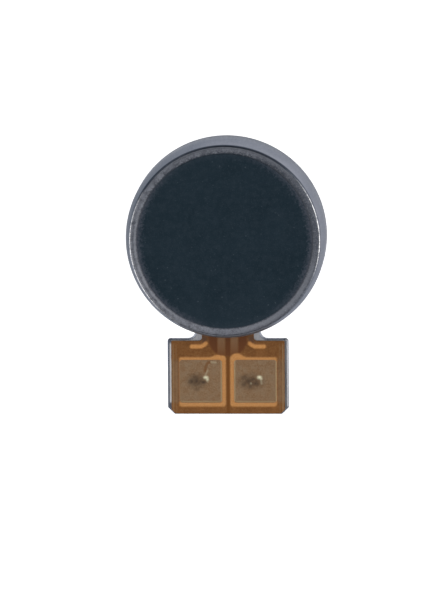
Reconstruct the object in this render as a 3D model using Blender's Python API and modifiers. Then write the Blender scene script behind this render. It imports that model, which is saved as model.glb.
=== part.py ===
"""Vibration coin motor, 10 mm across and 3 mm thick, with its contact pads on a stiffened tab.

The motor lies flat: +Z is its spin axis, z = 0 is the underside of the base plate, and the tab points to -Y.
Sizes are in millimetres, and one empty above everything scales them to metres.
"""

from math import asin, cos, degrees, hypot, pi, radians, sin, sqrt

import bmesh
import bpy

METRES_PER_MM = 0.001

# Whole motor
MOTOR_HEIGHT = 3.0
FIT_GAP = 0.005  # between two solids that touch on the real motor
CUT_MARGIN = 0.5  # how far a cutter reaches past what it cuts
ROUND_STEPS = 64
SMALL_STEPS = 32

# Can: a drawn steel cup, upside down on the base plate
CAN_RADIUS = 5.0
CAN_SHEET = 0.18
CAN_EDGE_RADIUS = 0.12
CAN_SIDE_CURVE = 4.6  # radius of the inward sweep of the side, seen in section
CAN_STRAIGHT_TOP = 1.5  # height where the straight side ends and the sweep starts
CAN_NOTCH_HALF_WIDTH = 1.45
CAN_NOTCH_TOP = 0.52
CAN_NOTCH_DEPTH = 0.6  # inwards from the can's outside

# Face film: the dark disc stuck on the can's closed end
FACE_FILM_RADIUS = 4.36
FACE_FILM_THICKNESS = 0.045
FACE_FILM_CHAMFER = 0.012

# Base plate: a disc that closes the can, with a neck and a tab
PLATE_THICKNESS = 0.20
PLATE_DISC_RADIUS = 4.97
PLATE_EDGE_ROUND = 0.035
PLATE_NECK_HALF_WIDTH = 1.635
PLATE_NECK_FILLET = 0.38
TAB_HALF_WIDTH = 3.035
TAB_START = 5.25  # distance from the spin axis to the tab's near edge
TAB_END = 9.09
TAB_NEAR_CORNER = 0.15
TAB_FAR_CHAMFER = 0.34
COLLAR_RADIUS = 0.70
COLLAR_TOP = 0.95
COLLAR_CHAMFER = 0.05

# Flexible circuit on the tab, with a neck that runs through the can's notch to the brushes
CIRCUIT_HALF_WIDTH = 2.845
CIRCUIT_START = 5.36
CIRCUIT_END = 9.035
CIRCUIT_NEAR_CORNER = 0.06
CIRCUIT_FAR_CHAMFER = 0.20
CIRCUIT_NECK_HALF_WIDTH = 1.30
CIRCUIT_NECK_FILLET = 0.18
CIRCUIT_ROUND_END = 2.15
CIRCUIT_HOLE_RADIUS = 0.76
ADHESIVE_THICKNESS = 0.03
BASE_FILM_THICKNESS = 0.04
COPPER_THICKNESS = 0.03
COVERLAY_THICKNESS = 0.045  # over the copper
POCKET_GROWTH = 0.01  # space between the copper's edge and the coverlay that flows round it

# Copper: a pad block on the tab, a narrow run up the neck and a small block under each brush
BLOCK_INNER = 0.11
BLOCK_OUTER = 2.46
BLOCK_NEAR = 6.18
BLOCK_FAR = 8.68
SHOULDER_START = 0.84
SHOULDER_RISE = 0.19
RUN_INNER = 0.15
RUN_OUTER = 0.50
RUN_TURN = 0.35  # how far before the brush block the run turns out towards it
RUN_TURN_DROP = 0.10  # how much less the run's inner edge goes on before it turns
BRUSH_BLOCK_INNER = 0.98
BRUSH_BLOCK_OUTER = 1.60
BRUSH_BLOCK_NEAR = 0.62
BRUSH_BLOCK_FAR = 1.28
BRUSH_BLOCK_JOIN = 0.30  # width of the run where it meets the block

# Contact pads: plated squares in the coverlay's openings
PAD_INNER = 0.30
PAD_OUTER = 2.44
PAD_NEAR = 6.32
PAD_FAR = 8.48
PAD_THICKNESS = 0.02
OPENING_MARGIN = 0.012
BRUSH_OPENING_INSET = 0.01

# Tear bars: copper strips that stop a tear starting at the neck's corners
BAR_HALF_WIDTH = 0.10
BAR_CORNER_X = 1.45
BAR_OUTER_END = 1.91
BAR_LINE = 5.64
BAR_BEND = 0.45
BAR_BEND_ANGLE = 60

# Ring magnet, glued to the base plate round the brushes
MAGNET_OUTER = 4.40
MAGNET_INNER = 2.30
MAGNET_BOTTOM = 0.21
MAGNET_TOP = 1.05
MAGNET_CHAMFER = 0.06
MAGNET_GROOVE_HALF_WIDTH = 1.35
MAGNET_GROOVE_TOP = 0.40

# Shaft and washers
SHAFT_RADIUS = 0.40
SHAFT_CHAMFER = 0.04
PRESS_GAP = 0.005
WASHER_OUTER = 0.85
LOWER_WASHER = (0.96, 1.02)  # bottom and top
UPPER_WASHER = (2.62, 2.70)
WASHER_PLAY = 0.02

# Brushes: leaf springs from the circuit up to the commutator
BRUSH_X = 1.30
BRUSH_WIDTH = 0.50
BRUSH_SHEET = 0.06
BRUSH_SLIT = 0.08
BRUSH_SLIT_START = -0.45  # y where the two fingers part
BRUSH_FOOT = (-1.20, -0.74)  # y of its two ends
BRUSH_KNEE_BEND = 0.15
BRUSH_TIP_Y = 0.62
BRUSH_TIP_BEND = 0.22
BRUSH_TIP_END = 35  # degrees from +Y at which the rounded tip ends
SOLDER_RADIUS = 0.20
SOLDER_HEIGHT = 0.11
SOLDER_Y = -0.98

# Rotor: an off-centre half disc, heavy side towards +Y at rest
ROTOR_RADIUS = 4.50
ROTOR_START = -14  # degrees
ROTOR_END = 194
BUSH_INNER = 0.42
BUSH_OUTER = 0.90
BUSH = (1.03, 2.60)
BUSH_CHAMFER = 0.05
BOARD_HUB_RADIUS = 2.25
BOARD = (1.30, 1.50)
MOULDING_HUB_RADIUS = 1.55
MOULDING_TOP = 2.45
MOULDING_FLOOR = 0.055
SEGMENT_COUNT = 6
SEGMENT_INNER = 1.02
SEGMENT_OUTER = 2.08
SEGMENT_SPAN = 50  # degrees
SEGMENT_THICKNESS = 0.03
COIL_DISTANCE = 2.85
COIL_ANGLE = 62  # degrees to each side of the counterweight
COIL_RADIAL = 2.90
COIL_TANGENTIAL = 2.70
COIL_ROUND = 0.70
COIL_HOLE_RADIAL = 1.40
COIL_HOLE_TANGENTIAL = 1.20
COIL_HOLE_ROUND = 0.30
COIL_TOP = 2.40
COIL_EDGE_ROUND = 0.06
WEIGHT_INNER = 2.45
WEIGHT_SPAN = 54  # degrees
WEIGHT_TOP = 2.55
WEIGHT_EDGE_ROUND = 0.05
HEAVY_SIDE = 90  # degrees from +X

# Heights of the circuit's layers, each resting on the one below
ADHESIVE = (PLATE_THICKNESS + FIT_GAP, PLATE_THICKNESS + FIT_GAP + ADHESIVE_THICKNESS)
BASE_FILM = (ADHESIVE[1] + FIT_GAP, ADHESIVE[1] + FIT_GAP + BASE_FILM_THICKNESS)
COPPER = (BASE_FILM[1] + FIT_GAP, BASE_FILM[1] + FIT_GAP + COPPER_THICKNESS)
COVERLAY = (COPPER[0], COPPER[1] + FIT_GAP + COVERLAY_THICKNESS)
CONTACT_PAD = (COPPER[1] + FIT_GAP, COPPER[1] + FIT_GAP + PAD_THICKNESS)
BRUSH_FOOT_HEIGHT = COPPER[1] + FIT_GAP + BRUSH_SHEET / 2

# Heights of the can and the rotor
CAN_TOP = MOTOR_HEIGHT - FACE_FILM_THICKNESS - FIT_GAP
CAN_CEILING = CAN_TOP - CAN_SHEET
SEGMENT = (BOARD[0] - FIT_GAP - SEGMENT_THICKNESS, BOARD[0] - FIT_GAP)
BRUSH_TIP_HEIGHT = SEGMENT[0] - FIT_GAP - BRUSH_SHEET / 2
MOULDING_BOTTOM = BOARD[1] + FIT_GAP
COIL_BOTTOM = MOULDING_BOTTOM + MOULDING_FLOOR + FIT_GAP

# name: colour, metallic, roughness
FINISHES = {
    "drawn_steel": ((0.30, 0.31, 0.33), 1.0, 0.35),
    "stamped_steel": ((0.42, 0.42, 0.43), 1.0, 0.30),
    "dark_film": ((0.020, 0.030, 0.042), 0.0, 0.45),
    "glue": ((0.35, 0.30, 0.20), 0.0, 0.60),
    "polyimide": ((0.25, 0.11, 0.035), 0.0, 0.35),
    "coverlay": ((0.19, 0.075, 0.025), 0.0, 0.30),
    "copper": ((0.50, 0.23, 0.07), 1.0, 0.30),
    "plated_pad": ((0.30, 0.22, 0.13), 1.0, 0.40),
    "magnet": ((0.38, 0.38, 0.39), 1.0, 0.35),
    "ground_steel": ((0.55, 0.55, 0.57), 1.0, 0.15),
    "washer": ((0.75, 0.74, 0.70), 0.0, 0.50),
    "spring_alloy": ((0.60, 0.52, 0.36), 1.0, 0.25),
    "solder": ((0.62, 0.62, 0.60), 1.0, 0.30),
    "sintered_bronze": ((0.40, 0.26, 0.13), 1.0, 0.50),
    "board": ((0.05, 0.16, 0.07), 0.0, 0.45),
    "gold": ((0.75, 0.52, 0.20), 1.0, 0.25),
    "magnet_wire": ((0.45, 0.16, 0.05), 0.8, 0.35),
    "tungsten": ((0.20, 0.20, 0.21), 1.0, 0.45),
    "moulding": ((0.03, 0.03, 0.03), 0.0, 0.50),
}


# Scene


def clear_scene():
    for obj in list(bpy.data.objects):
        bpy.data.objects.remove(obj)


def new_collection(name):
    collection = bpy.data.collections.new(name)
    bpy.context.scene.collection.children.link(collection)
    return collection


def new_empty(name, parent=None):
    empty = bpy.data.objects.new(name, None)
    PARTS.objects.link(empty)
    empty.parent = parent
    return empty


def new_material(name):
    colour, metallic, roughness = FINISHES[name]
    material = bpy.data.materials.new(name)
    material.use_nodes = True
    shader = material.node_tree.nodes["Principled BSDF"]
    shader.inputs["Base Color"].default_value = (*colour, 1)
    shader.inputs["Metallic"].default_value = metallic
    shader.inputs["Roughness"].default_value = roughness
    return material


def finished(obj, material, parent):
    """Gives a part its material and its place in the assembly."""
    obj.data.materials.clear()
    obj.data.materials.append(MATERIALS[material])
    obj.data.shade_smooth()
    obj.data.set_sharp_from_angle(angle=radians(30))
    obj.parent = parent
    return obj


def as_cutter(obj):
    """Takes a helper that cuts or joins another part out of the model."""
    PARTS.objects.unlink(obj)
    CUTTERS.objects.link(obj)
    obj.parent = MOTOR
    obj.hide_render = True
    obj.display_type = "WIRE"
    return obj


# Outlines, as lists of (x, y) points


def arc(centre, radius, start, end, steps):
    """Points from one angle to another, in degrees. It turns clockwise if end is below start."""
    angles = [radians(start + (end - start) * i / steps) for i in range(steps + 1)]
    return [(centre[0] + radius * cos(a), centre[1] + radius * sin(a)) for a in angles]


def circle(radius, steps=ROUND_STEPS):
    return arc((0, 0), radius, 0, 360, steps)[:-1]


def rectangle(low_x, high_x, low_y, high_y):
    return [(low_x, low_y), (high_x, low_y), (high_x, high_y), (low_x, high_y)]


def rounded_rectangle(length, width, radius):
    """Centred on the origin, with its length along X."""
    x, y = length / 2 - radius, width / 2 - radius
    corners = (((x, y), 0), ((-x, y), 90), ((-x, -y), 180), ((x, -y), 270))
    return [
        point
        for centre, start in corners
        for point in arc(centre, radius, start, start + 90, 5)
    ]


def sector(inner, outer, start, end, steps):
    return arc((0, 0), outer, start, end, steps) + arc((0, 0), inner, end, start, steps)


def half_disc(outer, hub):
    """The rotor's outline: a wide sector on the heavy side, closed round a hub on the light side."""
    return arc((0, 0), outer, ROTOR_START, ROTOR_END, 40) + arc(
        (0, 0), hub, ROTOR_END, ROTOR_START + 360, 16
    )


def mirrored(half):
    """A closed outline from its half at +X, listed from the bottom to the top."""
    return half + left_hand(half)


def left_hand(outline):
    return [(-x, y) for x, y in reversed(outline) if x > 1e-6]


def tabbed_disc(half_width, start, end, near_corner, far_chamfer, neck, fillet, disc):
    """A disc with a neck and a tab towards -Y, as the base plate and the circuit both have."""
    neck_angle = degrees(asin(neck / disc)) - 90
    half = [(half_width - far_chamfer, -end), (half_width, -end + far_chamfer)]
    half += arc((half_width - near_corner, -start - near_corner), near_corner, 0, 90, 3)
    half += arc((neck + fillet, -start + fillet), fillet, 270, 180, 6)
    half += arc((0, 0), disc, neck_angle, 90, 34)
    return mirrored(half)


def circuit_outline():
    return tabbed_disc(
        CIRCUIT_HALF_WIDTH,
        CIRCUIT_START,
        CIRCUIT_END,
        CIRCUIT_NEAR_CORNER,
        CIRCUIT_FAR_CHAMFER,
        CIRCUIT_NECK_HALF_WIDTH,
        CIRCUIT_NECK_FILLET,
        CIRCUIT_ROUND_END,
    )


def track_outline(grow=0.0):
    """The copper at +X: the pad block, its shoulder, the run up the neck and the block under the brush."""
    turn = BRUSH_BLOCK_FAR + RUN_TURN
    return [
        (BLOCK_INNER - grow, -BLOCK_FAR - grow),
        (BLOCK_OUTER + grow, -BLOCK_FAR - grow),
        (BLOCK_OUTER + grow, -BLOCK_NEAR + grow),
        (SHOULDER_START + grow, -BLOCK_NEAR + grow),
        (RUN_OUTER + grow, -BLOCK_NEAR + SHOULDER_RISE + grow),
        (RUN_OUTER + grow, -turn - grow),
        (BRUSH_BLOCK_INNER, -BRUSH_BLOCK_FAR - grow),
        (BRUSH_BLOCK_OUTER + grow, -BRUSH_BLOCK_FAR - grow),
        (BRUSH_BLOCK_OUTER + grow, -BRUSH_BLOCK_NEAR + grow),
        (BRUSH_BLOCK_INNER - grow, -BRUSH_BLOCK_NEAR + grow),
        (BRUSH_BLOCK_INNER - grow, -BRUSH_BLOCK_FAR + BRUSH_BLOCK_JOIN),
        (RUN_INNER - grow, -turn + RUN_TURN_DROP + grow),
        (RUN_INNER - grow, -BLOCK_NEAR + SHOULDER_RISE),
        (BLOCK_INNER - grow, -BLOCK_NEAR),
    ]


def tear_bar_outline(grow=0.0):
    """A strip at +X that runs along the tab's near edge and bends round the neck's corner."""
    centre = (BAR_CORNER_X, -BAR_LINE + BAR_BEND)
    half = BAR_HALF_WIDTH + grow
    end = 270 - BAR_BEND_ANGLE
    return (
        [(BAR_OUTER_END + grow, -BAR_LINE - half), (BAR_OUTER_END + grow, -BAR_LINE + half)]
        + arc(centre, BAR_BEND - half, 270, end, 6)
        + arc(centre, BAR_BEND + half, end, 270, 6)
    )


# Solids


def mesh_of(guide, name):
    """The curve's evaluated shape as a mesh object, with its loose caps welded on."""
    PARTS.objects.link(guide)
    bpy.context.view_layer.update()
    evaluated = guide.evaluated_get(bpy.context.evaluated_depsgraph_get())
    mesh = bpy.data.meshes.new_from_object(evaluated)
    welded = bmesh.new()
    welded.from_mesh(mesh)
    bmesh.ops.remove_doubles(welded, verts=welded.verts, dist=1e-5)
    welded.to_mesh(mesh)
    welded.free()
    obj = bpy.data.objects.new(name, mesh)
    obj.matrix_world = guide.matrix_world
    PARTS.objects.link(obj)
    bpy.data.objects.remove(guide)
    return obj


def outline_curve(name, outlines, closed, half_depth):
    curve = bpy.data.curves.new(name + "_outline", "CURVE")
    curve.dimensions = "2D"
    curve.fill_mode = "BOTH" if closed else "NONE"
    curve.extrude = half_depth
    for outline in outlines:
        spline = curve.splines.new("POLY")
        spline.points.add(len(outline) - 1)
        spline.use_cyclic_u = closed
        for point, (x, y) in zip(spline.points, outline):
            point.co = (x, y, 0, 1)
    return bpy.data.objects.new(name + "_outline", curve)


def plate(name, outlines, heights):
    """A flat piece between two heights. An outline inside another is a hole."""
    low, high = heights
    guide = outline_curve(name, outlines, True, (high - low) / 2)
    guide.location.z = (low + high) / 2
    return mesh_of(guide, name)


def turned(name, profile, closed, steps=SMALL_STEPS):
    """A profile of (radius, z) points turned about Z. It runs from top to bottom down its outer side."""
    count = len(profile)
    edges = [(i, i + 1) for i in range(count - 1)]
    if closed:
        edges.append((count - 1, 0))
    mesh = bpy.data.meshes.new(name)
    mesh.from_pydata([(radius, 0, z) for radius, z in profile], edges, [])
    obj = bpy.data.objects.new(name, mesh)
    PARTS.objects.link(obj)
    screw = obj.modifiers.new("Turn", "SCREW")
    screw.steps = screw.render_steps = steps
    screw.use_merge_vertices = True
    screw.merge_threshold = 0.0001
    return obj


def ring(name, inner, outer, heights, chamfer=0.0, steps=SMALL_STEPS):
    low, high = heights
    if chamfer:
        profile = [
            (outer - chamfer, high),
            (outer, high - chamfer),
            (outer, low + chamfer),
            (outer - chamfer, low),
            (inner + chamfer, low),
            (inner, low + chamfer),
            (inner, high - chamfer),
            (inner + chamfer, high),
        ]
    else:
        profile = [(outer, high), (outer, low), (inner, low), (inner, high)]
    return turned(name, profile, True, steps)


def rod(name, radius, heights, chamfer=0.0, steps=SMALL_STEPS):
    low, high = heights
    profile = [(0, high), (radius - chamfer, high), (radius, high - chamfer), (radius, low), (0, low)]
    if not chamfer:
        profile.pop(1)
    return turned(name, profile, False, steps)


def block(name, low_x, high_x, low_y, high_y, heights):
    return plate(name, [rectangle(low_x, high_x, low_y, high_y)], heights)


def round_edges(obj, width, segments=2):
    bevel = obj.modifiers.new("Round", "BEVEL")
    bevel.width = width
    bevel.segments = segments
    bevel.limit_method = "ANGLE"
    bevel.angle_limit = radians(40)


def combine(obj, other, operation):
    boolean = obj.modifiers.new(other.name, "BOOLEAN")
    boolean.operation = operation
    boolean.object = as_cutter(other)


def cut(obj, cutter):
    combine(obj, cutter, "DIFFERENCE")


def join(obj, other):
    combine(obj, other, "UNION")


# Housing


def can_profile():
    """Section of the cup from the axis over its outside, round the rim and back along its inside."""
    curve_centre = (CAN_RADIUS - CAN_SIDE_CURVE, CAN_STRAIGHT_TOP)
    rise = CAN_TOP - CAN_EDGE_RADIUS - CAN_STRAIGHT_TOP
    reach = CAN_SIDE_CURVE - CAN_EDGE_RADIUS
    edge_angle = degrees(asin(rise / reach))
    edge_centre = (curve_centre[0] + sqrt(reach**2 - rise**2), CAN_TOP - CAN_EDGE_RADIUS)
    inside = CAN_SIDE_CURVE - CAN_SHEET
    inside_angle = degrees(asin((CAN_CEILING - CAN_STRAIGHT_TOP) / inside))
    rim = PLATE_THICKNESS + FIT_GAP
    profile = [(0, CAN_TOP)]
    profile += arc(edge_centre, CAN_EDGE_RADIUS, 90, edge_angle, 4)
    profile += arc(curve_centre, CAN_SIDE_CURVE, edge_angle, 0, 6)[1:]
    profile += [(CAN_RADIUS, rim), (CAN_RADIUS - CAN_SHEET, rim)]
    profile += arc(curve_centre, inside, 0, inside_angle, 4)
    profile += [(0, CAN_CEILING)]
    return profile


def make_case_cup():
    cup = turned("case_cup", can_profile(), False, ROUND_STEPS)
    notch = block(
        "circuit_notch",
        -CAN_NOTCH_HALF_WIDTH,
        CAN_NOTCH_HALF_WIDTH,
        -CAN_RADIUS - CUT_MARGIN,
        -CAN_RADIUS + CAN_NOTCH_DEPTH,
        (0, CAN_NOTCH_TOP),
    )
    cut(cup, notch)
    return finished(cup, "drawn_steel", MOTOR)


def make_face_film():
    film = rod(
        "face_film",
        FACE_FILM_RADIUS,
        (MOTOR_HEIGHT - FACE_FILM_THICKNESS, MOTOR_HEIGHT),
        FACE_FILM_CHAMFER,
        ROUND_STEPS,
    )
    return finished(film, "dark_film", MOTOR)


def make_base_plate():
    outline = tabbed_disc(
        TAB_HALF_WIDTH,
        TAB_START,
        TAB_END,
        TAB_NEAR_CORNER,
        TAB_FAR_CHAMFER,
        PLATE_NECK_HALF_WIDTH,
        PLATE_NECK_FILLET,
        PLATE_DISC_RADIUS,
    )
    base = plate("base_plate", [outline], (0, PLATE_THICKNESS))
    round_edges(base, PLATE_EDGE_ROUND, 1)
    collar_heights = (PLATE_THICKNESS / 2, COLLAR_TOP)
    drill_heights = (-CUT_MARGIN, COLLAR_TOP + CUT_MARGIN)
    join(base, rod("shaft_collar", COLLAR_RADIUS, collar_heights, COLLAR_CHAMFER))
    cut(base, rod("shaft_drill", SHAFT_RADIUS + PRESS_GAP, drill_heights))
    return finished(base, "stamped_steel", MOTOR)


def make_shaft():
    shaft = rod("shaft", SHAFT_RADIUS, (0, CAN_CEILING - FIT_GAP), SHAFT_CHAMFER)
    return finished(shaft, "ground_steel", MOTOR)


def make_washers():
    inner = SHAFT_RADIUS + WASHER_PLAY
    for name, heights in (("lower_washer", LOWER_WASHER), ("upper_washer", UPPER_WASHER)):
        finished(ring(name, inner, WASHER_OUTER, heights), "washer", MOTOR)


def make_ring_magnet():
    magnet = ring(
        "ring_magnet",
        MAGNET_INNER,
        MAGNET_OUTER,
        (MAGNET_BOTTOM, MAGNET_TOP),
        MAGNET_CHAMFER,
        ROUND_STEPS,
    )
    groove = block(
        "magnet_groove",
        -MAGNET_GROOVE_HALF_WIDTH,
        MAGNET_GROOVE_HALF_WIDTH,
        -MAGNET_OUTER - CUT_MARGIN,
        0,
        (0, MAGNET_GROOVE_TOP),
    )
    cut(magnet, groove)
    return finished(magnet, "magnet", MOTOR)


# Flexible circuit


def make_circuit_films():
    outlines = [circuit_outline(), circle(CIRCUIT_HOLE_RADIUS, SMALL_STEPS)]
    finished(plate("circuit_adhesive", outlines, ADHESIVE), "glue", MOTOR)
    finished(plate("circuit_base_film", outlines, BASE_FILM), "polyimide", MOTOR)


def sides():
    """The name of each side and what turns an outline at +X into that side's."""
    return (("left", left_hand), ("right", list))


def make_copper():
    for side, handed in sides():
        track = plate(side + "_track", [handed(track_outline())], COPPER)
        finished(track, "copper", MOTOR)
        bar = plate(side + "_tear_bar", [handed(tear_bar_outline())], COPPER)
        finished(bar, "copper", MOTOR)


def make_contact_pads():
    outline = rectangle(PAD_INNER, PAD_OUTER, -PAD_FAR, -PAD_NEAR)
    for side, handed in sides():
        pad = plate(side + "_contact_pad", [handed(outline)], CONTACT_PAD)
        finished(pad, "plated_pad", MOTOR)


def make_coverlay():
    """The cover film, pocketed round the copper below it and open over the pads and the brush blocks."""
    cover = plate(
        "circuit_coverlay",
        [circuit_outline(), circle(CIRCUIT_HOLE_RADIUS, SMALL_STEPS)],
        COVERLAY,
    )
    pocket = (COVERLAY[0] - CUT_MARGIN, COPPER[1] + FIT_GAP)
    through = (COVERLAY[0] - CUT_MARGIN, COVERLAY[1] + CUT_MARGIN)
    pad = rectangle(
        PAD_INNER - OPENING_MARGIN,
        PAD_OUTER + OPENING_MARGIN,
        -PAD_FAR - OPENING_MARGIN,
        -PAD_NEAR + OPENING_MARGIN,
    )
    brush = rectangle(
        BRUSH_BLOCK_INNER + BRUSH_OPENING_INSET,
        BRUSH_BLOCK_OUTER - BRUSH_OPENING_INSET,
        -BRUSH_BLOCK_FAR + BRUSH_OPENING_INSET,
        -BRUSH_BLOCK_NEAR - BRUSH_OPENING_INSET,
    )
    cuts = (
        ("track_pocket", track_outline(POCKET_GROWTH), pocket),
        ("bar_pocket", tear_bar_outline(POCKET_GROWTH), pocket),
        ("pad_opening", pad, through),
        ("brush_opening", brush, through),
    )
    for side, handed in sides():
        for name, outline, heights in cuts:
            cut(cover, plate(side + "_" + name, [handed(outline)], heights))
    return finished(cover, "coverlay", MOTOR)


# Brushes


def brush_line():
    """The leaf's centre line seen from the side, as (y, z): a flat foot, a sloping arm and a rounded tip."""
    foot = [(BRUSH_FOOT[0], BRUSH_FOOT_HEIGHT)]
    knee = (BRUSH_FOOT[1], BRUSH_FOOT_HEIGHT + BRUSH_KNEE_BEND)
    tip = (BRUSH_TIP_Y, BRUSH_TIP_HEIGHT - BRUSH_TIP_BEND)
    span = hypot(tip[0] - knee[0], tip[1] - knee[1])
    bends = BRUSH_KNEE_BEND + BRUSH_TIP_BEND
    slope = degrees(asin((tip[1] - knee[1]) / span) + asin(bends / span))
    foot += arc(knee, BRUSH_KNEE_BEND, -90, slope - 90, 4)
    return foot + arc(tip, BRUSH_TIP_BEND, slope + 90, BRUSH_TIP_END, 6)


def make_brushes():
    for side, sign in (("left", -1), ("right", 1)):
        guide = outline_curve(side + "_brush", [brush_line()], False, BRUSH_WIDTH / 2)
        guide.rotation_euler = (pi / 2, 0, pi / 2)
        guide.location.x = sign * BRUSH_X
        brush = mesh_of(guide, side + "_brush")
        sheet = brush.modifiers.new("Sheet", "SOLIDIFY")
        sheet.thickness = BRUSH_SHEET
        sheet.offset = 0
        sheet.use_even_offset = True
        slit_x = sign * BRUSH_X
        slit = block(
            side + "_brush_slit",
            slit_x - BRUSH_SLIT / 2,
            slit_x + BRUSH_SLIT / 2,
            BRUSH_SLIT_START,
            BRUSH_TIP_Y + CUT_MARGIN,
            (0, MOTOR_HEIGHT),
        )
        cut(brush, slit)
        finished(brush, "spring_alloy", MOTOR)


def make_brush_solder():
    """A low dome of solder on each brush's foot."""
    bottom = BRUSH_FOOT_HEIGHT + BRUSH_SHEET / 2 + FIT_GAP
    quarter = arc((0, 0), 1, 90, 0, 5)
    dome = [(SOLDER_RADIUS * x, bottom + SOLDER_HEIGHT * y) for x, y in quarter]
    dome[0] = (0, bottom + SOLDER_HEIGHT)
    for side, sign in (("left", -1), ("right", 1)):
        solder = turned(side + "_brush_solder", dome + [(0, bottom)], False, 20)
        solder.location = (sign * BRUSH_X, SOLDER_Y, 0)
        finished(solder, "solder", MOTOR)


# Rotor


def make_bearing_bush():
    bush = ring("bearing_bush", BUSH_INNER, BUSH_OUTER, BUSH, BUSH_CHAMFER)
    return finished(bush, "sintered_bronze", ROTOR)


def make_commutator():
    bore = circle(BUSH_OUTER + FIT_GAP, SMALL_STEPS)
    board = plate("commutator_board", [half_disc(ROTOR_RADIUS, BOARD_HUB_RADIUS), bore], BOARD)
    finished(board, "board", ROTOR)
    for i in range(SEGMENT_COUNT):
        middle = HEAVY_SIDE + i * 360 / SEGMENT_COUNT
        outline = sector(
            SEGMENT_INNER, SEGMENT_OUTER, middle - SEGMENT_SPAN / 2, middle + SEGMENT_SPAN / 2, 8
        )
        segment = plate(f"commutator_segment_{i + 1}", [outline], SEGMENT)
        finished(segment, "gold", ROTOR)


def coil(name, side, heights, grow=0.0):
    """A wound coil's outer shape. side is 1 for the coil at +X and -1 for the one at -X."""
    outlines = [
        rounded_rectangle(COIL_RADIAL + 2 * grow, COIL_TANGENTIAL + 2 * grow, COIL_ROUND + grow),
        rounded_rectangle(
            COIL_HOLE_RADIAL - 2 * grow, COIL_HOLE_TANGENTIAL - 2 * grow, COIL_HOLE_ROUND - grow
        ),
    ]
    obj = plate(name, outlines, heights)
    angle = radians(HEAVY_SIDE - side * COIL_ANGLE)
    obj.rotation_euler.z = angle
    obj.location.x = COIL_DISTANCE * cos(angle)
    obj.location.y = COIL_DISTANCE * sin(angle)
    return obj


def make_coils():
    for name, side in (("left_coil", -1), ("right_coil", 1)):
        winding = coil(name, side, (COIL_BOTTOM, COIL_TOP))
        round_edges(winding, COIL_EDGE_ROUND)
        finished(winding, "magnet_wire", ROTOR)


def weight_outline(grow=0.0):
    half = WEIGHT_SPAN / 2
    outline = sector(WEIGHT_INNER, ROTOR_RADIUS, HEAVY_SIDE - half, HEAVY_SIDE + half, 12)
    if not grow:
        return outline
    half += degrees(grow / WEIGHT_INNER)
    return sector(
        WEIGHT_INNER - grow, ROTOR_RADIUS + CUT_MARGIN, HEAVY_SIDE - half, HEAVY_SIDE + half, 12
    )


def make_counterweight():
    weight = plate("counterweight", [weight_outline()], (MOULDING_BOTTOM, WEIGHT_TOP))
    round_edges(weight, WEIGHT_EDGE_ROUND)
    return finished(weight, "tungsten", ROTOR)


def make_rotor_moulding():
    """The resin that fills the rotor between its coils, its counterweight and its bush."""
    outlines = [
        half_disc(ROTOR_RADIUS, MOULDING_HUB_RADIUS),
        circle(BUSH_OUTER + FIT_GAP, SMALL_STEPS),
    ]
    moulding = plate("rotor_moulding", outlines, (MOULDING_BOTTOM, MOULDING_TOP))
    weight_pocket = (MOULDING_BOTTOM - CUT_MARGIN, MOULDING_TOP + CUT_MARGIN)
    coil_pocket = (COIL_BOTTOM - FIT_GAP, MOULDING_TOP + CUT_MARGIN)
    cut(moulding, plate("weight_pocket", [weight_outline(2 * FIT_GAP)], weight_pocket))
    for name, side in (("left_coil_pocket", -1), ("right_coil_pocket", 1)):
        cut(moulding, coil(name, side, coil_pocket, 2 * FIT_GAP))
    return finished(moulding, "moulding", ROTOR)


clear_scene()
PARTS = new_collection("vibration_coin_motor")
CUTTERS = new_collection("cutters")
MATERIALS = {name: new_material(name) for name in FINISHES}
MOTOR = new_empty("motor_in_metres")
MOTOR.scale = (METRES_PER_MM, METRES_PER_MM, METRES_PER_MM)
ROTOR = new_empty("rotor_axis", MOTOR)

make_case_cup()
make_face_film()
make_base_plate()
make_shaft()
make_washers()
make_ring_magnet()
make_circuit_films()
make_copper()
make_contact_pads()
make_coverlay()
make_brushes()
make_brush_solder()
make_bearing_bush()
make_commutator()
make_coils()
make_counterweight()
make_rotor_moulding()
CUTTERS.hide_render = True
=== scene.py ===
"""The looks of the vibration coin motor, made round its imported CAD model.

Shapes are worked out in millimetres, from the CAD nodes' boxes where those say enough, and are scaled to
metres when a piece is made. Materials read positions in millimetres too.
"""

from math import asin, atan2, cos, degrees, pi, radians, sin, sqrt, tan

import bmesh
import bpy
import numpy as np
from mathutils import Matrix, Vector
from mathutils.geometry import delaunay_2d_cdt


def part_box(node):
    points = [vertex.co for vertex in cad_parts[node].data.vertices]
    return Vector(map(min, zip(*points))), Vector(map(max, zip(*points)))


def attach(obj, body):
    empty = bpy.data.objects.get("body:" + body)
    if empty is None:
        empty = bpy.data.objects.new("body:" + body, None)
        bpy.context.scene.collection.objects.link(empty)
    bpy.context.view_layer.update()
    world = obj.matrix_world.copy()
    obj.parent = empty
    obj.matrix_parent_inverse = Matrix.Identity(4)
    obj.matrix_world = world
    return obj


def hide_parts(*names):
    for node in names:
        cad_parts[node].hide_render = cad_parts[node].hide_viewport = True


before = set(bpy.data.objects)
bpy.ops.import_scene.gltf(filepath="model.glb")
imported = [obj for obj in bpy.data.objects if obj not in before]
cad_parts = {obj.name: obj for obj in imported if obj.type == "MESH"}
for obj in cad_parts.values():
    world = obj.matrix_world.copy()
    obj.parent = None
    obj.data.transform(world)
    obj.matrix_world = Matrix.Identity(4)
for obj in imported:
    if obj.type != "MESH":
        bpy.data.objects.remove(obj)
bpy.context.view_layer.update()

MM_PER_METRE = 1000


def box_mm(node):
    low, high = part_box(node)
    return low * MM_PER_METRE, high * MM_PER_METRE


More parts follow.
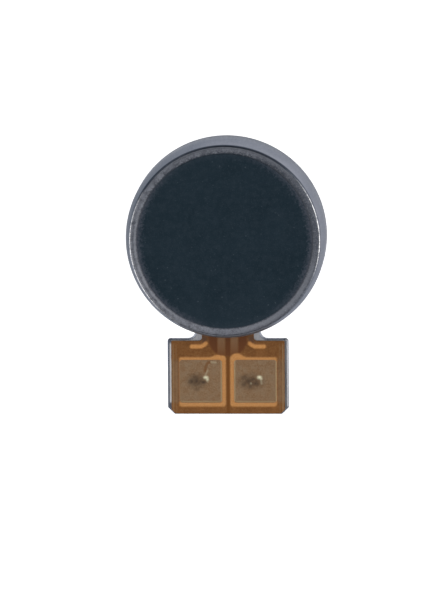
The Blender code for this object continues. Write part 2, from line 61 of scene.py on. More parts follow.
# Can. The box gives its outside, and the rest repeats the CAD's section.
CAN_LOW, CAN_HIGH = box_mm("case_cup")
CAN_RADIUS = CAN_HIGH.x
CAN_SHEET = 0.18
CAN_SIDE_CURVE = 4.6
CAN_STRAIGHT_TOP = 1.5
CAN_EDGE_RADIUS = 0.12
CAN_RIM_ROUND = 0.03
FACE_SINK = 0.012  # how far the face lies below the bead round it
BEAD_WIDTH = 0.07
EDGE_RISE = CAN_HIGH.z - CAN_EDGE_RADIUS - CAN_STRAIGHT_TOP
EDGE_REACH = CAN_SIDE_CURVE - CAN_EDGE_RADIUS
EDGE_X = CAN_RADIUS - CAN_SIDE_CURVE + sqrt(EDGE_REACH**2 - EDGE_RISE**2)  # centre of the edge's round
NOTCH_HALF_WIDTH = 1.45
NOTCH_TOP = 0.52
NOTCH_DEPTH = 0.6
NOTCH_ROUND = 0.12

# Face film
FILM_HIGH = box_mm("face_film")[1]
FILM_EDGE_ROUND = 0.018

# Base plate
PLATE_LOW, PLATE_HIGH = box_mm("base_plate")
PLATE_THICKNESS = 0.20
PLATE_DISC_RADIUS = 4.97
PLATE_NECK = 1.635
PLATE_NECK_FILLET = 0.38
NECK_START = 4.7  # where the neck leaves the plate's disc
TAB_MARGIN = 0.19  # how far the tab reaches past the circuit on each side
TAB_START = 5.25
TAB_NEAR_CORNER = 0.15
TAB_FAR_CHAMFER = 0.34
FAR_CORNER = PLATE_LOW.y + TAB_FAR_CHAMFER  # where the tab's side meets its chamfer
DIE_ROLL = 0.10  # rounding of the plate's upper edge
BURR_ROUND = 0.02
FLAT = 0.995  # a face whose normal's Z is below this is part of the sheared edge
COLLAR_RADIUS = 0.70
COLLAR_CHAMFER = 0.05
SHAFT_HOLE_RADIUS = 0.405

# Circuit
COVER_LOW, COVER_HIGH = box_mm("circuit_coverlay")
PAD_LOW, PAD_HIGH = box_mm("right_contact_pad")
TRACK_LOW, TRACK_HIGH = box_mm("right_track")
CIRCUIT_START = 5.36
CIRCUIT_NEAR_CORNER = 0.06
CIRCUIT_FAR_CHAMFER = 0.20
CIRCUIT_NECK = 1.30
CIRCUIT_NECK_FILLET = 0.18
CIRCUIT_ROUND_END = 2.15
CIRCUIT_HOLE_RADIUS = 0.76
COPPER_RELIEF = 0.016  # how far the cover film stands up over the copper
OPENING_MARGIN = 0.012
PAD_CORNER = 0.14
BLOCK_CORNER = 0.16
BLOCK_NEAR = 6.18
RUN_INNER = 0.15
RUN_OUTER = 0.50
RUN_END = 2.0
BAR_HALF_WIDTH = 0.10
BAR_CORNER_X = 1.45
BAR_OUTER_END = 1.91
BAR_LINE = 5.64
BAR_BEND = 0.45
BAR_BEND_ANGLE = 50
# Where the cover film is darker on the neck, beside the right-hand run
DARK_LOBE = [(0.51, -5.0), (0.97, -5.0), (0.93, -5.5), (0.80, -5.76), (0.62, -5.96), (0.51, -5.97)]
NECK_SHADE_X = 1.20  # of the shaded film in the neck's corners
BRUSH_OPENING = ((0.99, -1.27), (1.59, -0.63))
BRUSH_OPENING_ROUND = 0.03
COVER_SPACING = 0.05  # between the points of its mesh
SIDE_LINES = ((0.10, 1.0), (0.26, 0.6))  # pressed lines: how far from the film's side, and how strong
SIDE_LINE_RISE = 0.006
BORDER_DROP = 0.012
LIP_DROP = 0.008

# Pads. A spot on them is its centre, its reach along X and Y, and its strength.
PAD_SPACING = 0.03  # between the points of their meshes
STAINS = {
    "left": (
        ((-1.83, -7.42), (0.34, 0.27), 0.95),
        ((-1.66, -7.18), (0.32, 0.24), 0.75),
        ((-1.55, -7.42), (0.36, 0.40), 1.0),
        ((-1.25, -7.44), (0.30, 0.20), 1.0),
        ((-1.57, -7.74), (0.28, 0.30), 0.55),
        ((-1.58, -7.40), (0.72, 0.58), 0.85),
    ),
    "right": (
        ((0.83, -7.24), (0.34, 0.26), 0.9),
        ((0.82, -7.54), (0.34, 0.30), 0.8),
        ((1.02, -7.38), (0.42, 0.34), 0.9),
        ((1.26, -7.34), (0.40, 0.30), 0.9),
        ((1.42, -7.50), (0.34, 0.30), 1.0),
        ((1.10, -7.66), (0.36, 0.26), 0.75),
        ((1.14, -7.43), (0.95, 0.60), 0.8),
    ),
}
# Raised burrs beside the probes' dents, which also carry a painted glint
BURRS_AND_GLINTS = {
    "left": (((-1.11, -7.21), (0.19, 0.14), 1.0), ((-1.04, -7.30), (0.12, 0.16), 0.75)),
    "right": (
        ((1.58, -7.21), (0.19, 0.15), 1.0),
        ((1.65, -7.27), (0.12, 0.13), 0.7),
        ((1.15, -7.51), (0.08, 0.09), 0.28),
    ),
}
BURR_AND_GLINT_TAILS = {"left": [(-1.04, -7.34), (-1.02, -7.42)], "right": [(1.65, -7.33), (1.68, -7.52)]}
RIM_LIGHT = {"left": 0.15, "right": 1.0}  # how bright each pad's outer edge is
# The left pad's scratch, and the pale marks at its ends
SMEAR = [(-1.14, -6.88), (-1.12, -6.68), (-1.04, -6.50), (-0.93, -6.44)]
PALE_TRACE = [(-1.14, -7.10), (-1.03, -6.86)]
PALE_END = [(-0.84, -6.43), (-0.62, -6.45)]
PAD_SINK = 0.004  # how far the pads' faces lie below the CAD's
STAIN_DEPTH = 0.008
BURR_RISE = 0.014
SMEAR_DEPTH = 0.003
PAD_BORDER_DROP = 0.006

# Coils
COIL_SIZE = (2.90, 2.70)  # along and across the rotor's radius
COIL_ROUND = 0.70
COIL_HOLE = (1.40, 1.20)
COIL_HOLE_ROUND = 0.30
COIL_LAYERS = 9  # wires side by side
COIL_ROWS = 10  # wires one above another
WIRE_MARGIN = 0.06  # share of the bundle's width left on each side for the wires' bumps

STEPS = 256  # round the can
TINY = 1e-6
MERGE = 1e-4  # points of a turned solid closer than this become one
NEAR = 1e-5  # the same in a triangulation
INSIDE_ONLY = 1  # the triangulation's output type


# Outlines, as counter-clockwise lists of (x, y) points


def arc(centre, radius, start, end, steps):
    """Points from one angle to another, in degrees. It turns clockwise if end is below start."""
    angles = [radians(start + (end - start) * i / steps) for i in range(steps + 1)]
    return [(centre[0] + radius * cos(a), centre[1] + radius * sin(a)) for a in angles]


def circle(radius, steps):
    return arc((0, 0), radius, 0, 360, steps)[:-1]


def rounded_box(low, high, radius, steps=5):
    """A rectangle between two corners, with round corners."""
    corners = (
        ((high[0] - radius, high[1] - radius), 0),
        ((low[0] + radius, high[1] - radius), 90),
        ((low[0] + radius, low[1] + radius), 180),
        ((high[0] - radius, low[1] + radius), 270),
    )
    return [p for centre, start in corners for p in arc(centre, radius, start, start + 90, steps)]


def centred_box(size, radius, steps):
    return rounded_box((-size[0] / 2, -size[1] / 2), (size[0] / 2, size[1] / 2), radius, steps)


def left_hand(outline):
    """The outline mirrored to the other side of the motor."""
    return [(-x, y) for x, y in reversed(outline)]


def tabbed_disc(half_width, start, end, near_corner, far_chamfer, neck, fillet, disc):
    """A disc with a neck and a tab towards -Y, as the base plate and the circuit both have."""
    neck_angle = degrees(asin(neck / disc)) - 90
    half = [(half_width - far_chamfer, -end), (half_width, -end + far_chamfer)]
    half += arc((half_width - near_corner, -start - near_corner), near_corner, 0, 90, 6)
    half += arc((neck + fillet, -start + fillet), fillet, 270, 180, 12)
    half += arc((0, 0), disc, neck_angle, 90, 110)
    return half + [(x, y) for x, y in left_hand(half) if x < -TINY]


def evenly(outline, spacing):
    """The same closed outline with points added, so that no side is much longer than the spacing."""
    points = []
    for (x0, y0), (x1, y1) in zip(outline, outline[1:] + outline[:1]):
        count = max(1, round(sqrt((x1 - x0) ** 2 + (y1 - y0) ** 2) / spacing))
        points += [(x0 + (x1 - x0) * i / count, y0 + (y1 - y0) * i / count) for i in range(count)]
    return points


def softened(outline, reach):
    """The outline with each corner replaced by a short curve that starts so far before it."""
    corners = [np.array(p) for p in outline]
    points = []
    for before, corner, after in zip(corners[-1:] + corners[:-1], corners, corners[1:] + corners[:1]):
        ways = (before - corner, after - corner)
        start, end = (corner + way * min(reach / np.linalg.norm(way), 0.45) for way in ways)
        for t in np.linspace(0, 1, 5):
            points.append(tuple((1 - t) ** 2 * start + 2 * t * (1 - t) * corner + t * t * end))
    return points


def strip(line, half):
    """The outline of a strip with round ends, from its centre line and half its width."""
    points = np.array(line)
    along = np.gradient(points, axis=0)
    along /= np.linalg.norm(along, axis=1)[:, None]
    left = half * np.stack([-along[:, 1], along[:, 0]], axis=1)
    first, last = (degrees(atan2(way[1], way[0])) for way in (along[0], along[-1]))
    outline = [tuple(p) for p in points - left]
    outline += arc(points[-1], half, last - 90, last + 90, 8)[1:-1]
    outline += [tuple(p) for p in (points + left)[::-1]]
    return outline + arc(points[0], half, first + 90, first + 270, 8)[1:-1]


# Measures at an array of points, for reliefs and for the values that materials read


def line_distance(points, line, closed=False):
    starts = np.array(line, float)
    ends = np.roll(starts, -1, axis=0)
    if not closed:
        starts, ends = starts[:-1], ends[:-1]
    nearest = np.full(len(points), np.inf)
    for start, end in zip(starts, ends):
        side = end - start
        share = np.clip((points - start) @ side / max(side @ side, TINY**2), 0, 1)
        nearest = np.minimum(nearest, np.linalg.norm(points - start - share[:, None] * side, axis=1))
    return nearest


def is_inside(points, outline):
    inside = np.zeros(len(points), bool)
    x, y = points[:, 0], points[:, 1]
    for (x0, y0), (x1, y1) in zip(outline, outline[1:] + outline[:1]):
        if y0 != y1:
            crosses = (y0 > y) != (y1 > y)
            inside ^= crosses & (x < x0 + (y - y0) * (x1 - x0) / (y1 - y0))
    return inside


def depth_in(points, outline):
    """How far each point lies inside a closed outline. It is negative outside."""
    distance = line_distance(points, outline, closed=True)
    return np.where(is_inside(points, outline), distance, -distance)


def depth_in_any(points, outlines):
    return np.max([depth_in(points, outline) for outline in outlines], axis=0)


def smooth(low, high, values):
    """0 up to low and 1 from high, with a smooth rise between."""
    share = np.clip((values - low) / (high - low), 0, 1)
    return share * share * (3 - 2 * share)


def blob(points, centre, reach):
    """1 at a centre, fading smoothly to 0 at its reach along X and Y."""
    offset = (points - np.array(centre)) / np.array(reach)
    return 1 - smooth(0, 1, np.linalg.norm(offset, axis=1))


# Meshes, in millimetres


def mesh_from(bm, name):
    mesh = bpy.data.meshes.new(name)
    bmesh.ops.recalc_face_normals(bm, faces=bm.faces)
    bm.to_mesh(mesh)
    bm.free()
    return mesh


def turned(name, profile, steps=STEPS):
    """A solid turned about Z, from a profile of (radius, z) points that starts and ends on the axis."""
    bm = bmesh.new()
    verts = [bm.verts.new((radius, 0, z)) for radius, z in profile]
    edges = [bm.edges.new(pair) for pair in zip(verts, verts[1:])]
    whole_turn = {"cent": (0, 0, 0), "axis": (0, 0, 1), "angle": 2 * pi, "use_merge": True}
    bmesh.ops.spin(bm, geom=verts + edges, steps=steps, **whole_turn)
    bmesh.ops.remove_doubles(bm, verts=bm.verts, dist=MERGE)
    return mesh_from(bm, name)


def slab(name, outline, low, high, top_round=0.0, bottom_round=0.0):
    """A flat solid between two heights. Its upper and lower edges are rounded by their own amounts."""
    bm = bmesh.new()
    bottom = bm.faces.new([bm.verts.new((x, y, low)) for x, y in outline])
    raised = bmesh.ops.extrude_face_region(bm, geom=[bottom])["geom"]
    top = [part for part in raised if isinstance(part, bmesh.types.BMVert)]
    bmesh.ops.translate(bm, verts=top, vec=(0, 0, high - low))
    bmesh.ops.recalc_face_normals(bm, faces=bm.faces)
    for height, amount, segments in ((high, top_round, 5), (low, bottom_round, 2)):
        if amount:
            rim = [e for e in bm.edges if all(abs(v.co.z - height) < TINY for v in e.verts)]
            bmesh.ops.bevel(bm, geom=rim, offset=amount, segments=segments, profile=0.5, affect="EDGES")
    return mesh_from(bm, name)


def filled(outline, holes, guides, spacing):
    """Points and triangles that fill an outline. They follow its holes and guide lines."""
    loops = [evenly(loop, spacing) for loop in [outline, *holes, *guides]]
    drawn = np.array([p for loop in loops for p in loop])
    edges = []
    first = 0
    for loop in loops:
        edges += [(first + i, first + (i + 1) % len(loop)) for i in range(len(loop))]
        first += len(loop)
    spans = [np.arange(drawn[:, i].min(), drawn[:, i].max(), spacing) for i in (0, 1)]
    grid = np.stack(np.meshgrid(*spans), axis=-1).reshape(-1, 2)
    grid = grid[is_inside(grid, outline)]
    for loop in loops:
        grid = grid[line_distance(grid, loop, closed=True) > 0.5 * spacing]
    candidates = [Vector(p) for p in np.vstack([drawn, grid])]
    coords, _, faces, *_ = delaunay_2d_cdt(candidates, edges, [], INSIDE_ONLY, NEAR)
    points = np.array([tuple(p) for p in coords])
    faces = np.array(faces)
    middles = points[faces].mean(axis=1)
    kept = is_inside(middles, outline)
    for hole in holes:
        kept &= ~is_inside(middles, hole)
    used, faces = np.unique(faces[kept], return_inverse=True)
    return points[used], faces.reshape(-1, 3)


def relief(name, points, triangles, bottom, heights, masks):
    """A thin closed sheet over some triangles, with its own height at each point of its upper side.

    masks holds the values that its material reads, by name.
    """
    count = len(points)
    corners = points[triangles]
    first, second = corners[:, 1] - corners[:, 0], corners[:, 2] - corners[:, 0]
    clockwise = first[:, 0] * second[:, 1] < first[:, 1] * second[:, 0]
    triangles[clockwise] = triangles[clockwise][:, ::-1]
    sides = {(int(t[i]), int(t[(i + 1) % 3])) for t in triangles for i in range(3)}
    walls = [(b, a, a + count, b + count) for a, b in sides if (b, a) not in sides]
    faces = [tuple(map(int, t)) for t in triangles]
    faces += [tuple(int(i) + count for i in t[::-1]) for t in triangles]
    faces += sorted(walls)
    upper = np.column_stack([points, heights])
    lower = np.column_stack([points, np.full(count, bottom)])
    mesh = bpy.data.meshes.new(name)
    mesh.from_pydata(np.vstack([upper, lower]).tolist(), [], faces)
    for mask, values in masks.items():
        attribute = mesh.attributes.new(mask, "FLOAT", "POINT")
        attribute.data.foreach_set("value", np.tile(values, 2).astype(np.float32))
    return mesh


def add_object(name, data):
    obj = bpy.data.objects.new(name, data)
    bpy.context.scene.collection.objects.link(obj)
    return obj


def combined(mesh, other, operation):
    """The mesh after a Boolean with another one."""
    base = add_object("base", mesh)
    tool = add_object("tool", other)
    boolean = base.modifiers.new("Boolean", "BOOLEAN")
    boolean.operation = operation
    boolean.object = tool
    bpy.context.view_layer.update()
    evaluated = base.evaluated_get(bpy.context.evaluated_depsgraph_get())
    result = bpy.data.meshes.new_from_object(evaluated)
    for obj in (base, tool):
        bpy.data.objects.remove(obj)
    return result


def piece(name, mesh, body, nodes, materials, sharp=35):
    """Turns a mesh in millimetres into a piece of the motor that stands for some CAD nodes."""
    mesh.transform(Matrix.Scale(1 / MM_PER_METRE, 4))
    mesh.materials.clear()
    for material in materials:
        mesh.materials.append(material)
    mesh.shade_smooth()
    mesh.set_sharp_from_angle(angle=radians(sharp))
    obj = add_object(name, mesh)
    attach(obj, body)
    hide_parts(*nodes)
    return obj


# Materials


class Paint:
    """One material's nodes. Most methods add nodes and return an output. Values are numbers or outputs."""

    def __init__(self, name):
        self.material = bpy.data.materials.new(name)
        self.material.use_nodes = True
        self.tree = self.material.node_tree
        self.shader = self.tree.nodes["Principled BSDF"]
        place = self.node("ShaderNodeTexCoord").outputs["Object"]
        self.place = self.vector("MULTIPLY", place, (MM_PER_METRE,) * 3)

    def feed(self, node, inputs):
        """Gives values to some of a node's inputs, by their numbers or names."""
        for key, value in inputs.items():
            if isinstance(value, bpy.types.NodeSocket):
                self.tree.links.new(value, node.inputs[key])
            else:
                node.inputs[key].default_value = value

    def node(self, kind, inputs=None, **settings):
        made = self.tree.nodes.new(kind)
        for key, value in settings.items():
            setattr(made, key, value)
        self.feed(made, inputs or {})
        return made

    def vector(self, operation, first, second=(0, 0, 0)):
        made = self.node("ShaderNodeVectorMath", {0: first, 1: second}, operation=operation)
        return made.outputs["Value" if operation in ("LENGTH", "DOT_PRODUCT") else "Vector"]

    def math(self, operation, first, second=0.0):
        return self.node("ShaderNodeMath", {0: first, 1: second}, operation=operation).outputs[0]

    def product(self, first, *others):
        for other in others:
            first = self.math("MULTIPLY", first, other)
        return first

    def axis(self, which):
        return self.node("ShaderNodeSeparateXYZ", {0: self.place}).outputs[which]

    def flat(self):
        return self.vector("MULTIPLY", self.place, (1, 1, 0))

    def radius(self):
        """The distance from the spin axis."""
        return self.vector("LENGTH", self.flat())

    def facing(self, x, y):
        """From 1 on the side of the spin axis that the direction (x, y) points to, down to -1 opposite it."""
        return self.vector("DOT_PRODUCT", self.vector("NORMALIZE", self.flat()), (x, y, 0))

    def noise(self, per_mm, detail=2.0, stretch=(1, 1, 1), roughness=0.5):
        """Smooth noise about 0.5, with so many waves per millimetre, times the stretch along each axis."""
        place = self.vector("MULTIPLY", self.place, stretch)
        inputs = {"Vector": place, "Scale": per_mm, "Detail": detail, "Roughness": roughness}
        return self.node("ShaderNodeTexNoise", inputs).outputs["Fac"]

    def cells(self, per_mm):
        """The distance to the nearest of some scattered points."""
        return self.node("ShaderNodeTexVoronoi", {"Vector": self.place, "Scale": per_mm}).outputs["Distance"]

    def ramp(self, value, low, high, low_out=0.0, high_out=1.0):
        inputs = dict(enumerate((value, low, high, low_out, high_out)))
        return self.node("ShaderNodeMapRange", inputs).outputs[0]

    def band(self, value, middle, half):
        """1 at a value, falling to 0 at half a band's width from it."""
        away = self.math("DIVIDE", self.math("ABSOLUTE", self.math("SUBTRACT", value, middle)), half)
        return self.ramp(away, 0.4, 1.0, 1.0, 0.0)

    def mix(self, share, first, second):
        """A colour between two others. A colour is three numbers or an output."""
        first, second = (c if isinstance(c, bpy.types.NodeSocket) else (*c, 1) for c in (first, second))
        return self.node("ShaderNodeMix", {0: share, 6: first, 7: second}, data_type="RGBA").outputs[2]

    def shift(self, colour, target, value, low, high, most=1.0):
        """A colour moved to a target by a share: 0 at a low value, and the most at a high one."""
        return self.mix(self.ramp(value, low, high, 0, most), colour, target)

    def mask(self, name):
        return self.node("ShaderNodeAttribute", attribute_name=name).outputs["Fac"]

    def bump(self, height, microns, before=None):
        """A normal tilted by a height from 0 to 1 that stands for so many microns."""
        inputs = {"Distance": microns * 1e-6, "Height": height}
        if before is not None:
            inputs["Normal"] = before
        return self.node("ShaderNodeBump", inputs).outputs["Normal"]

    def finish(self, colour, roughness, normal=None, metallic=0.0, specular=0.5, low_angle=(1, 1, 1)):
        """Ends the material. low_angle is a metal's tint where it is seen at a low angle."""
        inputs = {"Base Color": colour, "Roughness": roughness, "Metallic": metallic}
        inputs |= {"Specular IOR Level": specular, "Specular Tint": (*low_angle, 1)}
        if normal is not None:
            inputs["Normal"] = normal
        self.feed(self.shader, inputs)
        return self.material


def drawn_steel():
    """The can's dull blue-grey steel. Colours that follow a direction stand for what it reflects there."""
    paint = Paint("drawn_steel")
    grain = paint.noise(9, 4, stretch=(1, 1, 0.12), roughness=0.7)
    fine = paint.noise(26, 2, stretch=(1, 1, 0.05))
    height = paint.axis(2)
    radius = paint.radius()
    on_face = paint.ramp(height, CAN_HIGH.z - 0.10, CAN_HIGH.z - 0.03)
    colour = paint.mix(on_face, can_side(paint, fine, height), can_face(paint, grain, fine, radius))
    colour = paint.shift(colour, (0.10, 0.115, 0.145), paint.noise(0.8, 3), 0.40, 0.75, 0.25)
    on_edge = paint.ramp(height, CAN_HIGH.z - CAN_EDGE_RADIUS * 1.1, CAN_HIGH.z - CAN_EDGE_RADIUS * 0.8)
    colour, crest = can_edge(paint, colour, grain, radius, on_edge)
    roughness = paint.ramp(crest, 0, 1, paint.ramp(grain, 0.25, 0.75, 0.32, 0.48), 0.18)
    normal = paint.bump(fine, 0.6, paint.bump(grain, 1.6))
    return paint.finish(colour, roughness, normal, metallic=1.0, low_angle=(0.42, 0.44, 0.48))


def can_side(paint, fine, height):
    """The can's side: fine upright marks, with painted light towards +X and painted shade towards its foot.
    """
    # Painted light: lighter on the side that faces +X and a little +Y.
    colour = paint.shift((0.15, 0.162, 0.188), (0.245, 0.252, 0.285), paint.facing(0.94, 0.34), -0.3, 1)
    colour = paint.shift(colour, (0.27, 0.275, 0.30), fine, 0.4, 0.75, 0.35)
    # Painted shade: darker towards the can's foot.
    return paint.shift(colour, (0.045, 0.05, 0.062), height, 1.7, 0.2, 0.70)


def can_face(paint, grain, fine, radius):
    """The can's face: a satin grain, blotched on the left, with painted light and glints, and a dark frayed
    line of painted shade round the film.
    """
    blotch = paint.noise(3.6, 4, stretch=(1, 1, 0.1), roughness=0.65)
    leftwards = paint.ramp(paint.facing(-0.97, 0.24), -0.5, 0.7)
    # Painted light: lighter towards -X and -Y, darker towards +X and +Y.
    colour = paint.shift((0.06, 0.068, 0.086), (0.20, 0.206, 0.236), paint.facing(-0.71, -0.71), -1, 1)
    sandy = paint.product(paint.ramp(grain, 0.42, 0.68, 0, 0.7), paint.ramp(leftwards, 0, 1, 0.45, 1))
    colour = paint.mix(sandy, colour, (0.305, 0.325, 0.37))
    pale = paint.product(paint.ramp(blotch, 0.52, 0.64, 0, 0.65), leftwards)
    colour = paint.mix(pale, colour, (0.30, 0.315, 0.355))
    dark = paint.product(paint.ramp(blotch, 0.48, 0.36, 0, 0.75), leftwards)
    colour = paint.mix(dark, colour, (0.05, 0.056, 0.07))
    colour = paint.shift(colour, (0.06, 0.068, 0.086), grain, 0.46, 0.30, 0.50)
    # Painted glints: small bright specks in the grain.
    colour = paint.shift(colour, (0.46, 0.47, 0.51), fine, 0.60, 0.72, 0.5)

    # Painted light: the face's outer part is lighter towards +Y.
    outer_back = paint.product(paint.ramp(radius, FILM_HIGH.x + 0.1, EDGE_X), paint.facing(0, 1))
    colour = paint.shift(colour, (0.24, 0.255, 0.29), outer_back, 0, 1, 0.7)
    # Painted light: a lighter band inside the edge towards +X and -Y.
    near_edge = paint.band(radius, EDGE_X - 0.16, 0.14)
    front_right = paint.product(near_edge, paint.ramp(paint.facing(0.71, -0.71), 0.75, 0.95))
    colour = paint.shift(colour, (0.25, 0.262, 0.295), front_right, 0, 1, 0.5)

    # Painted shade: a dark frayed line round the film, lighter at the left and right.
    frayed = paint.math("ADD", radius, paint.ramp(grain, 0.25, 0.75, -0.03, 0.03))
    sideways = paint.math("ABSOLUTE", paint.facing(0.97, 0.24))
    line = paint.shift((0.03, 0.04, 0.052), (0.078, 0.084, 0.098), sideways, 0.4, 0.95)
    return paint.shift(colour, line, frayed, FILM_HIGH.x + 0.08, FILM_HIGH.x + 0.02, 0.85)


def can_edge(paint, colour, grain, radius, on_edge):
    """The can's edge, with a painted dark reflection on its outer flank and a painted highlight along its
    crest on the left and right.

    Returns the colour and the share of the crest.
    """
    # Painted highlight: these masks pick the edge's left and right, where its crest is painted bright.
    left = paint.ramp(paint.facing(-0.966, -0.259), 0.66, 0.93)
    rightmost = paint.ramp(paint.facing(1, 0), 0.75, 1.0, 0.30, 1.0)
    right = paint.product(paint.ramp(paint.facing(0.978, 0.208), 0.78, 0.985), rightmost)
    lit_sides = paint.product(paint.math("MAXIMUM", left, right), on_edge)
    # Painted dark reflection on the edge's outer flank, strongest towards +Y and weaker where the crest is
    # lit.
    outside = paint.ramp(radius, EDGE_X - 0.01, EDGE_X + 0.035)
    backwards = paint.ramp(paint.facing(0, 1), -0.7, 0.4, 0.15, 1.0)
    flank = paint.product(outside, on_edge, backwards, paint.ramp(lit_sides, 0, 1, 1.0, 0.5))
    shade = paint.shift((0.048, 0.056, 0.072), (0.023, 0.028, 0.037), paint.facing(-0.90, 0.44), 0.82, 0.97)
    colour = paint.mix(flank, colour, shade)

    # Painted shade in the dip inside the bead, on the left.
    groove_shade = paint.product(paint.band(radius, EDGE_X - 0.09, 0.05), left)
    colour = paint.shift(colour, (0.09, 0.095, 0.11), groove_shade, 0, 1, 0.45)
    # Painted light: a lighter band near the film's edge, on the left.
    rim = paint.product(paint.band(radius, FILM_HIGH.x + 0.11, 0.05), left)
    colour = paint.shift(colour, (0.31, 0.32, 0.35), rim, 0, 1, 0.5)

    # The crest's painted highlight, broken up by the grain.
    rightwards = paint.ramp(paint.facing(1, 0), -0.8, 0.8)
    middle = paint.ramp(rightwards, 0, 1, EDGE_X + 0.03, EDGE_X + 0.045)
    half = paint.ramp(rightwards, 0, 1, 0.03, 0.04)
    crest_breaks = paint.ramp(grain, 0.38, 0.58, 0.15, 1.1)
    crest = paint.product(paint.band(radius, middle, half), lit_sides, crest_breaks)
    bright = paint.mix(rightwards, (0.58, 0.575, 0.58), (0.52, 0.515, 0.52))
    return paint.mix(crest, colour, bright), crest


def on_tab_top(paint):
    """1 on the upper side of the base plate's tab, 0 elsewhere."""
    beyond = paint.ramp(paint.axis(1), -TAB_START + 0.05, -TAB_START - 0.10)
    return paint.product(beyond, paint.ramp(paint.axis(2), 0.05, 0.12))


def stamped_steel():
    """Rolled sheet, grained along Y. Beside the circuit, the tab carries painted light: a bright strip on the
    left, dark at its ends, and a dark strip on the right.
    """
    paint = Paint("stamped_steel")
    grain = paint.noise(14, 4, stretch=(1, 0.10, 1), roughness=0.6)
    colour = paint.shift((0.26, 0.262, 0.285), (0.42, 0.42, 0.435), grain, 0.3, 0.7)
    colour = paint.shift(colour, (0.20, 0.205, 0.235), paint.noise(2.2, 3), 0.4, 0.7, 0.5)

    across = paint.axis(0)
    along = paint.axis(1)
    tab_top = on_tab_top(paint)
    # Painted dark reflection at the ends of the tab's left strip.
    near_end = paint.ramp(along, -TAB_START - 0.32, -TAB_START - 0.18)
    far_end = paint.ramp(along, FAR_CORNER + 0.30, FAR_CORNER + 0.20)
    # Painted highlight: the bright strip on the tab's left.
    left_strip = paint.shift((0.42, 0.42, 0.435), (0.74, 0.74, 0.75), grain, 0.35, 0.65)
    left_strip = paint.mix(paint.math("MAXIMUM", near_end, far_end), left_strip, (0.10, 0.105, 0.125))
    on_left = paint.product(paint.ramp(across, -COVER_HIGH.x + 0.02, -COVER_HIGH.x - 0.01), tab_top)
    colour = paint.mix(on_left, colour, left_strip)
    # Painted shade: the dark strip on the tab's right.
    right_strip = paint.shift((0.10, 0.103, 0.113), (0.20, 0.202, 0.215), grain, 0.35, 0.65)
    on_right = paint.product(paint.ramp(across, COVER_HIGH.x - 0.02, COVER_HIGH.x + 0.01), tab_top)
    colour = paint.mix(on_right, colour, right_strip)

    roughness = paint.ramp(grain, 0.25, 0.75, 0.24, 0.40)
    return paint.finish(colour, roughness, paint.bump(grain, 0.9), metallic=1.0)


def sheared_edge():
    """The sheet's rolled-over border, dark as a painted dark reflection, with the cut side below it: a smooth
    band, then a torn one.

    Painted light makes it lighter on the neck, on the tab's near and far edges and on the tab's right side.
    """
    paint = Paint("sheared_edge")
    torn = paint.noise(22, 3, stretch=(1, 1, 0.4))
    across = paint.axis(0)
    along = paint.axis(1)
    height = paint.axis(2)
    # The border's dark colour is a painted dark reflection.
    colour = paint.shift((0.034, 0.038, 0.05), (0.068, 0.076, 0.098), height, 0.07, 0.10)
    tab_half = COVER_HIGH.x + TAB_MARGIN
    # Painted light: lighter on the neck and on the tab's near and far edges.
    inner = paint.ramp(paint.math("ABSOLUTE", across), tab_half - 0.30, tab_half - 0.10, 0.85, 0)
    neck_side = paint.product(inner, paint.ramp(along, -NECK_START + 0.4, -NECK_START))
    colour = paint.mix(neck_side, colour, (0.29, 0.305, 0.345))
    colour = paint.shift(colour, (0.14, 0.15, 0.18), torn, 0.5, 0.8, 0.5)
    patchy = paint.ramp(paint.noise(3.1, 3), 0.35, 0.65, 0.35, 1.0)
    shoulder = paint.product(paint.ramp(height, PLATE_THICKNESS - 0.004, PLATE_THICKNESS), patchy)
    colour = paint.mix(shoulder, colour, (0.21, 0.216, 0.245))

    # Painted light on the tab's right side.
    on_right = paint.product(paint.ramp(across, COVER_HIGH.x, COVER_HIGH.x + 0.05), on_tab_top(paint))
    above_foot = paint.ramp(height, 0.13, 0.19, 0.30, 1.0)
    before_corner = paint.ramp(along, FAR_CORNER, FAR_CORNER + 0.12, 0.15, 1.0)
    lit = paint.shift((0.24, 0.242, 0.255), (0.42, 0.42, 0.435), torn, 0.35, 0.65)
    colour = paint.mix(paint.product(on_right, above_foot, before_corner), colour, lit)
    roughness = paint.ramp(torn, 0.3, 0.7, 0.38, 0.58)
    return paint.finish(colour, roughness, paint.bump(torn, 1.5), metallic=1.0, low_angle=(0.30, 0.31, 0.34))


